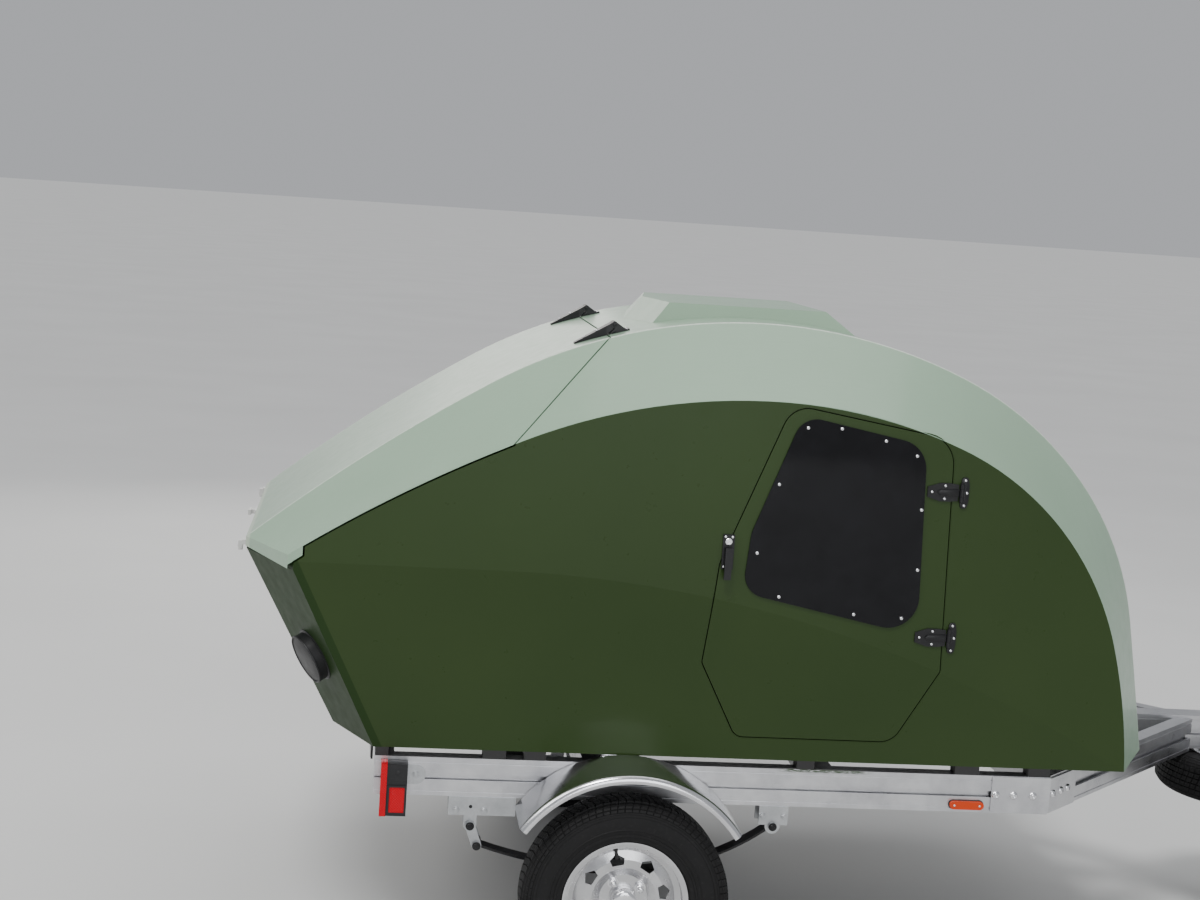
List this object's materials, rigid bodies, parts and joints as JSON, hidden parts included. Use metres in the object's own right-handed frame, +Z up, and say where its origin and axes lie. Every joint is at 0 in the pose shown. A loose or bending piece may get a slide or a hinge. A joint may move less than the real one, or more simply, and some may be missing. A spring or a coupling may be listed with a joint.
{
  "type": "teardrop trailer",
  "caption": "Small faceted camping trailer: green sides, pale curved roof, smoked door windows and a rear galley hatch on a bolted aluminium drawbar frame.",
  "frame": {"origin": "on the ground below the middle of the trailer's overall length and width", "axes": "+X forward towards the coupler, +Y to the trailer's left, +Z up"},
  "size_m": [3.7512, 1.784, 1.778],
  "materials": {
    "green_panels": "gloss dark green paint over plywood",
    "mint_panels": "satin pale mint green paint over plywood",
    "bare_wood": "clear-sealed plywood",
    "smoked_window": "dark smoked acrylic, polished",
    "mill_aluminium": "mill finish extrusion",
    "polished_aluminium": "polished sheet",
    "zinc_steel": "zinc plated",
    "black_steel": "satin black coating",
    "silver_wheel": "bright silver paint",
    "tyre_rubber": "black tyre rubber",
    "black_rubber": "black rubber pads",
    "black_plastic": "black moulded plastic",
    "red_lens": "red moulded lens",
    "amber_lens": "amber moulded lens",
    "white_metal": "pale coated metal"
  },
  "bodies": {
    "trailer": {"axle": "black_steel", "axle_clamps": "zinc_steel", "band_left": "mint_panels", "band_right": "mint_panels", "body_mounts": "black_rubber", "bulkhead": "bare_wood", "corner_panels": "green_panels", "corner_plates": "mill_aluminium", "coupler": "zinc_steel", "crossmembers": "mill_aluminium", "door_hinge_leaves": "black_steel", "drawbar_arms": "mill_aluminium", "fender_brackets": "mill_aluminium", "fender_left": "polished_aluminium", "fender_right": "polished_aluminium", "floor_panel": "bare_wood", "galley_counter": "bare_wood", "galley_front": "bare_wood", "hatch_hinge_leaves": "black_steel", "jack_crank": "zinc_steel", "jack_tube": "zinc_steel", "lamp_brackets": "zinc_steel", "leaf_springs": "black_steel", "marker_lamps": "amber_lens", "plate_holder": "black_plastic", "rail_left": "mill_aluminium", "rail_right": "mill_aluminium", "roof_hump": "mint_panels", "roof_panel": "mint_panels", "shackles": "zinc_steel", "side_left": "green_panels", "side_right": "green_panels", "side_vents": "black_plastic", "spare_carrier": "zinc_steel", "spare_rim": "silver_wheel", "spare_tyre": "tyre_rubber", "spring_hangers": "zinc_steel", "tail_lamp_lenses": "red_lens", "tail_lamps": "black_plastic", "tongue": "mill_aluminium", "tongue_plates": "mill_aluminium", "transom": "green_panels"},
    "wheel_left": {"wheel_left": "silver_wheel", "tyre_left": "tyre_rubber"},
    "wheel_right": {"wheel_right": "silver_wheel", "tyre_right": "tyre_rubber"},
    "door_left": {"door_left": "green_panels", "window_left": "smoked_window", "door_straps_left": "black_steel", "door_latch_left": "black_steel"},
    "door_right": {"door_right": "green_panels", "window_right": "smoked_window", "door_straps_right": "black_steel", "door_latch_right": "black_steel"},
    "hatch": {"hatch_top": "mint_panels", "hatch_band_left": "mint_panels", "hatch_band_right": "mint_panels", "hatch_straps": "black_steel", "hatch_latches": "white_metal"},
    "jack_leg": {"jack_leg": "zinc_steel"}
  },
  "joints": [
    {"name": "wheel_left_spin", "type": "hinge", "parent": "trailer", "child": "wheel_left", "pos_m": [-0.83435, 0.808, 0.27], "axis": [0, 1, 0], "continuous": true},
    {"name": "wheel_right_spin", "type": "hinge", "parent": "trailer", "child": "wheel_right", "pos_m": [-0.83435, -0.808, 0.27], "axis": [0, 1, 0], "continuous": true},
    {"name": "door_left_swing", "type": "hinge", "parent": "trailer", "child": "door_left", "pos_m": [-0.01235, 0.73844, 1.16], "axis": [0, 0, -1], "range_deg": [0, 100]},
    {"name": "door_right_swing", "type": "hinge", "parent": "trailer", "child": "door_right", "pos_m": [-0.01235, -0.73844, 1.16], "axis": [0, 0, 1], "range_deg": [0, 100]},
    {"name": "hatch_lift", "type": "hinge", "parent": "trailer", "child": "hatch", "pos_m": [-0.90435, 0, 1.716], "axis": [0, 1, 0], "range_deg": [0, 75]},
    {"name": "jack_slide", "type": "slide", "parent": "trailer", "child": "jack_leg", "axis": [0, 0, 1], "range_m": [0, 0.25]}
  ]
}
